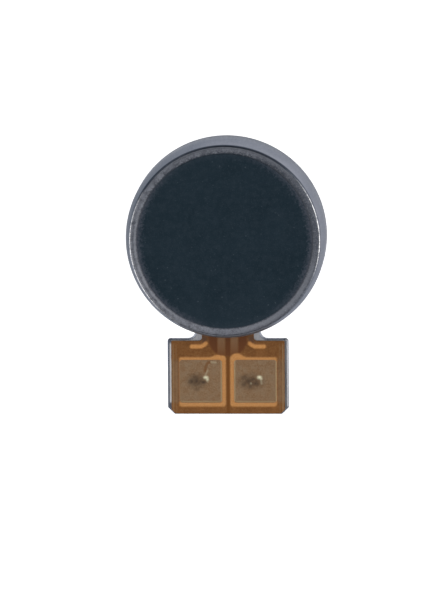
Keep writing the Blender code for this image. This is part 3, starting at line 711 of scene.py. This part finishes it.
def dark_film():
    """Slate-blue film with a satin mottle and faint specks, painted lighter towards -Y, and a painted sheen
    on its frayed border, strongest at its sides.
    """
    paint = Paint("dark_film")
    grain = paint.noise(15, 3, roughness=0.6)
    mottle = paint.noise(4.5, 3, roughness=0.6)
    colour = paint.shift((0.0032, 0.0125, 0.0205), (0.0064, 0.0168, 0.0262), paint.noise(0.8, 3), 0.3, 0.75)
    # Painted light: lighter towards -Y.
    colour = paint.shift(colour, (0.016, 0.027, 0.038), paint.axis(1), -2.4, -3.6, 0.18)
    colour = paint.shift(colour, (0.016, 0.027, 0.038), mottle, 0.42, 0.75, 0.5)
    colour = paint.shift(colour, (0.03, 0.043, 0.056), grain, 0.55, 0.78, 0.6)
    speck = paint.product(paint.ramp(paint.cells(3.1), 0.03, 0.12, 0.8, 0), paint.ramp(mottle, 0.4, 0.65))
    colour = paint.mix(speck, colour, (0.06, 0.075, 0.09))

    # Painted sheen: a lighter frayed border, strongest at the sides and towards -X and -Y.
    sideways = paint.ramp(paint.math("ABSOLUTE", paint.facing(0.99, 0.14)), 0.35, 0.92, 0.20, 1.15)
    front_left = paint.ramp(paint.facing(-0.71, -0.71), 0.80, 0.97)
    wobble = paint.ramp(paint.noise(7, 4, roughness=0.7), 0.25, 0.75, -0.24, 0.24)
    border = paint.ramp(paint.math("ADD", paint.radius(), wobble), FILM_HIGH.x - 0.28, FILM_HIGH.x + 0.02)
    strength = paint.math("MAXIMUM", sideways, front_left)
    edge_sheen = paint.product(border, strength, paint.ramp(grain, 0.30, 0.65, 0.5, 1.0))
    colour = paint.mix(edge_sheen, colour, (0.048, 0.055, 0.073))
    roughness = paint.ramp(grain, 0.2, 0.8, 0.66, 0.80)
    return paint.finish(colour, roughness, paint.bump(grain, 0.9), specular=0.15)


def cover_film():
    """Amber-brown polyimide, orange over the copper and darker over the neck, with painted light on the
    copper near the can and painted shade in the neck's corners.
    """
    paint = Paint("cover_film")
    cloud = paint.noise(2.2, 3)
    fine = paint.noise(13, 3, roughness=0.6)
    along = paint.axis(1)
    colour = paint.shift((0.14, 0.053, 0.0112), (0.18, 0.071, 0.0175), cloud, 0.3, 0.7)
    beside_pads = paint.shift((0.148, 0.075, 0.032), (0.175, 0.094, 0.045), cloud, 0.3, 0.7)
    colour = paint.mix(paint.mask("beside"), colour, beside_pads)
    colour = paint.shift(colour, (0.23, 0.115, 0.042), fine, 0.48, 0.72, 0.5)
    colour = paint.shift(colour, (0.095, 0.034, 0.008), fine, 0.50, 0.30, 0.4)
    # The pressed side lines are lighter; their colour is partly a painted glint, stronger on the right.
    colour = paint.mix(paint.mask("side_line"), colour, (0.25, 0.165, 0.085))

    copper = paint.shift((0.37, 0.17, 0.056), (0.46, 0.228, 0.084), fine, 0.3, 0.7)
    copper = paint.shift(copper, (0.42, 0.185, 0.05), cloud, 0.35, 0.7, 0.5)
    # Painted light: the copper is lighter towards the can, against the can's shadow.
    near_copper = paint.shift((0.47, 0.205, 0.058), (0.57, 0.27, 0.088), fine, 0.3, 0.7)
    copper = paint.shift(copper, near_copper, along, -6.6, -5.6)
    colour = paint.mix(paint.mask("copper"), colour, copper)

    colour = paint.mix(paint.mask("gap"), colour, (0.132, 0.046, 0.0065))
    colour = paint.mix(paint.mask("neck"), colour, (0.106, 0.034, 0.0082))
    run = paint.shift((0.142, 0.056, 0.018), (0.19, 0.10, 0.048), along, -6.0, -5.3)
    colour = paint.mix(paint.mask("run"), colour, run)
    colour = paint.mix(paint.mask("shade"), colour, (0.08, 0.042, 0.026))
    roughness = paint.ramp(fine, 0.2, 0.8, 0.30, 0.44)
    normal = paint.bump(fine, 0.5, paint.bump(cloud, 3.0))
    return paint.finish(colour, roughness, normal, specular=0.18)


def plated_pad():
    """Dull gold plating with a mottled grain, dark round the probe's dent, and bright on the burred lip
    beside it, where a glint is painted.
    """
    paint = Paint("plated_pad")
    grain = paint.noise(12, 3, roughness=0.6)
    mottle = paint.noise(3.6, 4, roughness=0.65)
    colour = paint.shift((0.205, 0.122, 0.064), (0.35, 0.226, 0.132), grain, 0.3, 0.7)
    colour = paint.shift(colour, (0.30, 0.212, 0.133), mottle, 0.42, 0.62, 0.55)
    colour = paint.shift(colour, (0.245, 0.142, 0.075), mottle, 0.48, 0.34, 0.45)
    colour = paint.shift(colour, (0.265, 0.152, 0.08), paint.noise(1.2, 2), 0.4, 0.7, 0.4)
    colour = paint.mix(paint.mask("rim"), colour, (0.47, 0.345, 0.19))
    colour = paint.mix(paint.mask("scratch"), colour, (0.215, 0.098, 0.04))
    stain = paint.product(paint.mask("stain"), paint.ramp(paint.noise(7, 3), 0.30, 0.55, 0.6, 1.0))
    colour = paint.mix(stain, colour, (0.082, 0.055, 0.038))
    # Painted glint on the raised burrs.
    colour = paint.mix(paint.mask("bright"), colour, (0.92, 0.88, 0.62))
    roughness = paint.ramp(grain, 0.2, 0.8, 0.38, 0.52)
    return paint.finish(colour, roughness, paint.bump(grain, 1.2), metallic=1.0)


def simple(name, dark, light, per_mm, rough, microns, metallic=0.0, stretch=(1, 1, 1)):
    """A material of one noise, between two colours and two roughnesses, for the pieces inside."""
    paint = Paint(name)
    grain = paint.noise(per_mm, 3, stretch)
    colour = paint.shift(dark, light, grain, 0.3, 0.7)
    colour = paint.shift(colour, dark, paint.noise(1.1, 2), 0.4, 0.75, 0.35)
    roughness = paint.ramp(grain, 0.25, 0.75, *rough)
    return paint.finish(colour, roughness, paint.bump(grain, microns), metallic)


# Stator pieces


def can_profile():
    """The cup's section from the axis over its outside, round the rim and back along its inside."""
    top = CAN_HIGH.z
    face = top - FACE_SINK
    centre = (CAN_RADIUS - CAN_SIDE_CURVE, CAN_STRAIGHT_TOP)
    edge_angle = degrees(asin(EDGE_RISE / EDGE_REACH))
    inner_reach = CAN_SIDE_CURVE - CAN_SHEET
    ceiling_angle = degrees(asin((top - CAN_SHEET - CAN_STRAIGHT_TOP) / inner_reach))
    rim = CAN_LOW.z
    profile = [(0, face), (2, face), (4, face), (EDGE_X - BEAD_WIDTH, face)]
    profile += [(EDGE_X - BEAD_WIDTH * 0.6, face + FACE_SINK * 0.35)]
    profile += [(EDGE_X - BEAD_WIDTH * 0.3, top - 0.001)]
    profile += arc((EDGE_X, top - CAN_EDGE_RADIUS), CAN_EDGE_RADIUS, 90, edge_angle, 10)
    profile += arc(centre, CAN_SIDE_CURVE, edge_angle, 0, 16)[1:]
    profile += arc((CAN_RADIUS - CAN_RIM_ROUND, rim + CAN_RIM_ROUND), CAN_RIM_ROUND, 0, -90, 3)
    profile += [(CAN_RADIUS - CAN_SHEET, rim)]
    profile += arc(centre, inner_reach, 0, ceiling_angle, 8)
    profile += [(0, top - CAN_SHEET)]
    return profile


def make_can(steel):
    cup = turned("can", can_profile())
    corner = (NOTCH_HALF_WIDTH, NOTCH_TOP)
    opening = rounded_box((-corner[0], -corner[1]), corner, NOTCH_ROUND)
    notch = slab("notch", opening, CAN_RADIUS - NOTCH_DEPTH, CAN_RADIUS + NOTCH_DEPTH)
    notch.transform(Matrix.Rotation(pi / 2, 4, "X"))
    shell = combined(cup, notch, "DIFFERENCE")
    piece("can_shell", shell, "stator", ["case_cup"], [steel])


def make_face_film(film):
    high, radius = FILM_HIGH.z, FILM_HIGH.x
    seat = CAN_HIGH.z - FACE_SINK
    profile = [(0, high), (radius / 2, high)]
    profile += arc((radius - FILM_EDGE_ROUND, high - FILM_EDGE_ROUND), FILM_EDGE_ROUND, 90, 0, 4)
    profile += [(radius, seat), (0, seat)]
    piece("face_disc", turned("face_disc", profile), "stator", ["face_film"], [film])


def make_base(steel, edge):
    """The stamped plate with its collar. Its border faces have the sheared edge's material."""
    tab = (COVER_HIGH.x + TAB_MARGIN, TAB_START, -PLATE_LOW.y, TAB_NEAR_CORNER, TAB_FAR_CHAMFER)
    outline = tabbed_disc(*tab, PLATE_NECK, PLATE_NECK_FILLET, PLATE_DISC_RADIUS)
    plate = slab("plate", outline, 0, PLATE_THICKNESS, DIE_ROLL, BURR_ROUND)
    top = PLATE_HIGH.z
    half = PLATE_THICKNESS / 2
    profile = [(0, top), (COLLAR_RADIUS - COLLAR_CHAMFER, top), (COLLAR_RADIUS, top - COLLAR_CHAMFER)]
    collar = turned("collar", profile + [(COLLAR_RADIUS, half), (0, half)], 64)
    drill = [(0, top + half), (SHAFT_HOLE_RADIUS, top + half), (SHAFT_HOLE_RADIUS, BURR_ROUND)]
    drill += [(SHAFT_HOLE_RADIUS + 2 * BURR_ROUND, -BURR_ROUND), (0, -BURR_ROUND)]
    mesh = combined(plate, collar, "UNION")
    mesh = combined(mesh, turned("drill", drill, 64), "DIFFERENCE")
    base = piece("base_stamping", mesh, "stator", ["base_plate"], [steel, edge])
    for polygon in base.data.polygons:
        if abs(polygon.normal.z) < FLAT and polygon.center.xy.length * MM_PER_METRE > COLLAR_RADIUS + 1:
            polygon.material_index = 1
    # The plate's flat sides are shaded as flat right up to its rounded edge.
    base.modifiers.new("WeightedNormal", "WEIGHTED_NORMAL").keep_sharp = True


def sides():
    """The name of each side and what turns an outline at +X into that side's."""
    return (("left", left_hand), ("right", list))


def both(outline):
    return [handed(outline) for _, handed in sides()]


def tear_bar():
    """Its centre line runs along the tab's near edge and bends up round the neck's corner."""
    centre = (BAR_CORNER_X, -BAR_LINE + BAR_BEND)
    line = [(BAR_OUTER_END - BAR_HALF_WIDTH, -BAR_LINE)]
    line += arc(centre, BAR_BEND, 270, 270 - BAR_BEND_ANGLE, 8)
    return strip(line, BAR_HALF_WIDTH)


def copper_blocks():
    """The copper that shows orange: a block on each side. Their shoulders differ a little."""
    inner, outer = TRACK_LOW.x, TRACK_HIGH.x
    far, near = TRACK_LOW.y, -BLOCK_NEAR
    left = [(-inner, near + 0.08), (-0.59, near + 0.14), (-0.82, near), (-outer, near), (-outer, far)]
    left += [(-inner, far)]
    right = [(inner, far), (outer, far), (outer, near), (0.84, near)]
    right += [(0.487, near + 0.255), (inner, near + 0.09)]
    return [softened(block, BLOCK_CORNER) for block in (left, right)]


def pad_outline(grow=0.0):
    low = (PAD_LOW.x - grow, PAD_LOW.y - grow)
    return rounded_box(low, (PAD_HIGH.x + grow, PAD_HIGH.y + grow), PAD_CORNER + grow)


def make_cover(film):
    """The cover film, raised over the copper, and open over the pads and where the brushes are soldered."""
    tab = (COVER_HIGH.x, CIRCUIT_START, -COVER_LOW.y, CIRCUIT_NEAR_CORNER, CIRCUIT_FAR_CHAMFER)
    outline = tabbed_disc(*tab, CIRCUIT_NECK, CIRCUIT_NECK_FILLET, CIRCUIT_ROUND_END)
    openings = both(pad_outline(OPENING_MARGIN))
    brush_openings = both(rounded_box(*BRUSH_OPENING, BRUSH_OPENING_ROUND, 2))
    holes = [circle(CIRCUIT_HOLE_RADIUS, 64), *openings, *brush_openings]
    bars = both(tear_bar())
    blocks = copper_blocks()
    run = [(RUN_INNER, -BLOCK_NEAR), (RUN_OUTER, -BLOCK_NEAR), (RUN_OUTER, -RUN_END), (RUN_INNER, -RUN_END)]
    runs = both(run)
    points, triangles = filled(outline, holes, bars + blocks, COVER_SPACING)

    raised = smooth(-0.035, 0.035, depth_in_any(points, [*blocks, *bars, *runs]))
    border = depth_in(points, outline)
    lip = np.min([-depth_in(points, opening) for opening in openings], axis=0)
    side_line = pressed_lines(points)
    heights = COVER_HIGH.z - COPPER_RELIEF * (1 - raised) + SIDE_LINE_RISE * side_line
    heights -= BORDER_DROP * (1 - smooth(0, 0.03, border)) + LIP_DROP * (1 - smooth(0, 0.025, lip))
    masks = cover_masks(points, blocks + bars, runs, side_line)
    mesh = relief("cover", points, triangles, COVER_LOW.z, heights, masks)
    piece("circuit_cover", mesh, "stator", ["circuit_coverlay"], [film])


def pressed_lines(points):
    """The strength of the lines pressed along the cover film's two sides, on the tab."""
    on_tab = smooth(CIRCUIT_START + 0.05, CIRCUIT_START + 0.25, -points[:, 1])
    from_side = COVER_HIGH.x - np.abs(points[:, 0])
    return on_tab * sum(w * (1 - smooth(0, 0.035, np.abs(from_side - at))) for at, w in SIDE_LINES)


def cover_masks(points, copper, runs, side_line):
    """How much of each of its colours the cover film shows at each point."""
    x, y = points[:, 0], points[:, 1]
    aside = np.abs(x)
    by_pads = smooth(PAD_LOW.y - 0.10, PAD_LOW.y + 0.10, y)
    by_pads *= smooth(-PAD_HIGH.y - 0.12, -PAD_HIGH.y + 0.12, -y)
    orange = smooth(-0.03, 0.03, depth_in_any(points, copper))
    orange *= 1 - 0.75 * by_pads * smooth(PAD_HIGH.x - 0.02, PAD_HIGH.x + 0.01, aside)
    towards_can = smooth(-BLOCK_NEAR - 0.02, -BLOCK_NEAR + 0.13, y)
    between_runs = (1 - smooth(RUN_OUTER, RUN_OUTER + 0.04, aside)) * towards_can
    dark = np.maximum(smooth(-0.07, 0.05, depth_in_any(points, both(DARK_LOBE))), between_runs)
    stripe = smooth(-0.05, 0.035, depth_in_any(points, runs)) * smooth(-BLOCK_NEAR, -BLOCK_NEAR + 0.10, y)
    corners = [(side * NECK_SHADE_X, -CIRCUIT_START + 0.12) for side in (1, -1)]
    shade = patches(points, [(corner, (0.30, 0.36), 0.9) for corner in corners])
    return {
        "copper": orange,
        "gap": (1 - smooth(TRACK_LOW.x - 0.06, TRACK_LOW.x, aside)) * (1 - towards_can),
        "neck": dark * (1 - orange) * (1 - stripe),
        "run": stripe * (1 - orange),
        # The side lines' colour is partly a painted glint, stronger on the right.
        "side_line": np.where(x > 0, 0.95, 0.5) * side_line,
        "shade": shade * (1 - 0.7 * orange),
        "beside": by_pads * smooth(TRACK_HIGH.x - 0.02, TRACK_HIGH.x + 0.04, aside),
    }


def patches(points, spots):
    """The strongest of some soft spots at each point. A spot is a centre, a reach and a strength."""
    return np.max([strength * blob(points, centre, reach) for centre, reach, strength in spots], axis=0)


def stroke(points, line, width, strength):
    return strength * (1 - smooth(0.2 * width, width, line_distance(points, line)))


def make_pads(plating):
    """The two bare pads. Each has a stain where a probe slid and a burred lip with a painted glint, and the
    left one has a scratch.
    """
    for side, handed in sides():
        outline = handed(pad_outline())
        points, triangles = filled(outline, [], [], PAD_SPACING)
        stain = patches(points, STAINS[side])
        # The raised burrs carry a painted glint through the bright mask.
        burr_and_glint = np.maximum(patches(points, BURRS_AND_GLINTS[side]), stroke(points, BURR_AND_GLINT_TAILS[side], 0.07, 0.20))
        smear = np.zeros(len(points))
        if side == "left":
            smear = stroke(points, SMEAR, 0.11, 0.8)
            burr_and_glint = np.maximum(burr_and_glint, stroke(points, PALE_TRACE, 0.07, 0.16))
            burr_and_glint = np.maximum(burr_and_glint, stroke(points, PALE_END, 0.08, 0.16))
        border = depth_in(points, outline)
        heights = PAD_HIGH.z - PAD_SINK - STAIN_DEPTH * stain + BURR_RISE * burr_and_glint - SMEAR_DEPTH * smear
        heights -= PAD_BORDER_DROP * (1 - smooth(0, 0.03, border))
        outwards = np.abs(points[:, 0])
        inner_rim = 1 - smooth(0.01, 0.11, np.minimum(outwards - PAD_LOW.x, points[:, 1] - PAD_LOW.y))
        outer_rim = 1 - smooth(0.03, 0.07, PAD_HIGH.x - outwards)
        rim = np.maximum(0.85 * inner_rim, RIM_LIGHT[side] * outer_rim)
        masks = {"stain": stain, "bright": np.minimum(burr_and_glint, 1), "scratch": smear, "rim": rim}
        mesh = relief(side + "_pad", points, triangles, PAD_LOW.z, heights, masks)
        piece(side + "_pad_face", mesh, "stator", [side + "_contact_pad"], [plating])


# Rotor pieces


def winding_section():
    """The wound bundle's outline, as shares of its width and height, with a bump for each wire."""
    bump = [(share, sqrt(1 - (2 * share - 1) ** 2) / 2) for share in (0.03, 0.2, 0.5, 0.8)]
    layers, rows = range(COIL_LAYERS), range(COIL_ROWS)
    under = [((i + share) / COIL_LAYERS, -rise / COIL_ROWS) for i in layers for share, rise in bump]
    outside = [(1 + rise / COIL_LAYERS, (i + share) / COIL_ROWS) for i in rows for share, rise in bump]
    half = under + outside
    return half + [(1 - u, 1 - v) for u, v in half]


def make_winding(side, wire):
    """A coil of fine wire: the bundle's section carried round between its hole and its outside."""
    node = side + "_coil"
    low, high = box_mm(node)
    centre = (low + high) / 2
    wire_size = (high.z - low.z) / (COIL_ROWS + 1)
    steps = 10
    inner = np.array(centred_box(COIL_HOLE, COIL_HOLE_ROUND, steps))
    outer = np.array(centred_box(COIL_SIZE, COIL_ROUND, steps))
    rings = []
    for hole_point, outer_point in zip(inner, outer):
        ring = []
        for u, v in winding_section():
            across = WIRE_MARGIN + (1 - 2 * WIRE_MARGIN) * u
            x, y = hole_point + across * (outer_point - hole_point)
            ring.append((x, y, low.z + wire_size / 2 + v * (high.z - low.z - wire_size)))
        rings.append(ring)
    bm = bmesh.new()
    verts = [[bm.verts.new(p) for p in ring] for ring in rings]
    count = len(verts[0])
    for ring, after in zip(verts, verts[1:] + verts[:1]):
        for i in range(count):
            j = (i + 1) % count
            bm.faces.new((ring[i], ring[j], after[j], after[i]))
    mesh = mesh_from(bm, node)
    turn = Matrix.Rotation(atan2(centre.y, centre.x), 4, "Z")
    mesh.transform(Matrix.Translation((centre.x, centre.y, 0)) @ turn)
    piece(side + "_winding", mesh, "rotor", [node], [wire], sharp=60)


# Nodes that keep their CAD shape. Each row is a material: its nodes, darker colour, lighter colour, waves per
# millimetre, lowest and highest roughness, and its grain's height in microns.

WASHERS = ["lower_washer", "upper_washer"]
COPPER_FOILS = ["left_track", "right_track", "left_tear_bar", "right_tear_bar"]
BRUSHES = ["left_brush", "right_brush"]
SOLDERS = ["left_brush_solder", "right_brush_solder"]
SEGMENTS = [f"commutator_segment_{i}" for i in range(1, 7)]
INNER_FINISHES = {
    "glue": (["circuit_adhesive"], (0.26, 0.20, 0.11), (0.34, 0.27, 0.16), 8, (0.5, 0.7), 2.0),
    "base_film": (["circuit_base_film"], (0.13, 0.055, 0.015), (0.17, 0.075, 0.022), 6, (0.3, 0.42), 1.0),
    "washer_plastic": (WASHERS, (0.62, 0.60, 0.54), (0.72, 0.70, 0.65), 12, (0.45, 0.6), 1.0),
    "board": (["commutator_board"], (0.012, 0.055, 0.022), (0.022, 0.085, 0.036), 9, (0.35, 0.5), 2.0),
    "moulding": (["rotor_moulding"], (0.012, 0.012, 0.013), (0.026, 0.026, 0.027), 14, (0.4, 0.6), 2.5),
}
INNER_METALS = {
    "copper": (COPPER_FOILS, (0.55, 0.25, 0.13), (0.68, 0.34, 0.19), 12, (0.28, 0.42), 0.8),
    "magnet": (["ring_magnet"], (0.33, 0.33, 0.34), (0.45, 0.45, 0.46), 10, (0.3, 0.45), 1.5),
    "ground_steel": (["shaft"], (0.50, 0.50, 0.52), (0.60, 0.60, 0.62), 20, (0.12, 0.2), 0.3),
    "spring_alloy": (BRUSHES, (0.52, 0.40, 0.22), (0.66, 0.53, 0.32), 14, (0.2, 0.34), 0.5),
    "solder": (SOLDERS, (0.50, 0.50, 0.50), (0.66, 0.66, 0.66), 7, (0.2, 0.36), 2.0),
    "sintered_bronze": (["bearing_bush"], (0.22, 0.12, 0.055), (0.42, 0.26, 0.13), 16, (0.4, 0.6), 3.0),
    "gold": (SEGMENTS, (0.62, 0.40, 0.13), (0.76, 0.54, 0.22), 10, (0.2, 0.34), 0.5),
    "tungsten": (["counterweight"], (0.17, 0.17, 0.18), (0.27, 0.27, 0.28), 18, (0.4, 0.55), 2.0),
}


def paint_inner_nodes():
    for finishes, metallic in ((INNER_FINISHES, 0.0), (INNER_METALS, 1.0)):
        for name, (nodes, dark, light, per_mm, rough, microns) in finishes.items():
            material = simple(name, dark, light, per_mm, rough, microns, metallic)
            for node in nodes:
                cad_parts[node].material_slots[0].material = material


# Stage, lights and camera

LEAN_NORTH = 7.4  # degrees that the camera leans from straight above, towards +Y
LEAN_EAST = 3.0
AIM = (-0.405, -3.295, 0.3)
FRAME_HEIGHT = 30.05  # of the picture, at the motor
CAMERA_DISTANCE = 400
SENSOR = 36
FLOOR_GLOW = 0.7  # keeps the floor near white in the motor's shade
FLOOR_HALF = 0.6  # metres
FLOOR_DROP = 1e-5  # metres, which keeps the floor off the motor's underside
WORLD_COLOUR = (0.93, 0.96, 1.0, 1)
WORLD_STRENGTH = 0.10


def make_stage():
    bm = bmesh.new()
    bmesh.ops.create_grid(bm, x_segments=1, y_segments=1, size=FLOOR_HALF)
    floor = add_object("floor", mesh_from(bm, "floor"))
    floor.location.z = -FLOOR_DROP
    paint = Paint("floor")
    colour = paint.mix(paint.noise(0.02, 2), (0.88, 0.88, 0.88), (0.92, 0.92, 0.92))
    paint.feed(paint.shader, {"Emission Color": (1, 1, 1, 1), "Emission Strength": FLOOR_GLOW})
    floor.data.materials.append(paint.finish(colour, 0.8, specular=0.1))


def make_light(name, place, size, watts):
    """A soft box aimed at the motor. Its place and size are in metres."""
    light = bpy.data.lights.new(name, "AREA")
    light.shape = "RECTANGLE"
    light.size, light.size_y = size
    light.energy = watts
    lamp = add_object(name, light)
    lamp.location = place
    lamp.rotation_euler = (-Vector(place)).to_track_quat("-Z", "Y").to_euler()
    lamp.visible_camera = False


def make_lights():
    make_light("left_box", (-0.45, 0, 0.28), (0.9, 0.5), 3.6)
    make_light("right_box", (0.45, 0, 0.28), (0.9, 0.5), 3.6)
    make_light("top_box", (0.0, 0.0, 0.75), (0.45, 0.45), 0.6)
    world = bpy.data.worlds.new("studio")
    world.use_nodes = True
    background = world.node_tree.nodes["Background"]
    background.inputs["Color"].default_value = WORLD_COLOUR
    background.inputs["Strength"].default_value = WORLD_STRENGTH
    bpy.context.scene.world = world
    bpy.context.scene.view_settings.view_transform = "Standard"


def make_camera():
    camera = bpy.data.cameras.new("camera")
    camera.sensor_width = SENSOR
    camera.lens = SENSOR * CAMERA_DISTANCE / FRAME_HEIGHT
    camera.clip_start = 0.01
    camera.clip_end = 10
    back = Vector((tan(radians(LEAN_EAST)), tan(radians(LEAN_NORTH)), 1)).normalized()
    level = (Vector((1, 0, 0)) - back * back.x).normalized()
    turn = Matrix((level, back.cross(level), back)).transposed()
    place = Vector(AIM) + back * CAMERA_DISTANCE
    obj = add_object("camera", camera)
    obj.matrix_world = Matrix.Translation(place / MM_PER_METRE) @ turn.to_4x4()
    bpy.context.scene.camera = obj


make_can(drawn_steel())
make_face_film(dark_film())
make_base(stamped_steel(), sheared_edge())
make_cover(cover_film())
make_pads(plated_pad())
wire_colours = ((0.30, 0.085, 0.022), (0.46, 0.16, 0.05))
wire = simple("magnet_wire", *wire_colours, 6, (0.22, 0.36), 1.0, stretch=(1, 1, 2))
make_winding("left", wire)
make_winding("right", wire)
paint_inner_nodes()
make_stage()
make_lights()
make_camera()
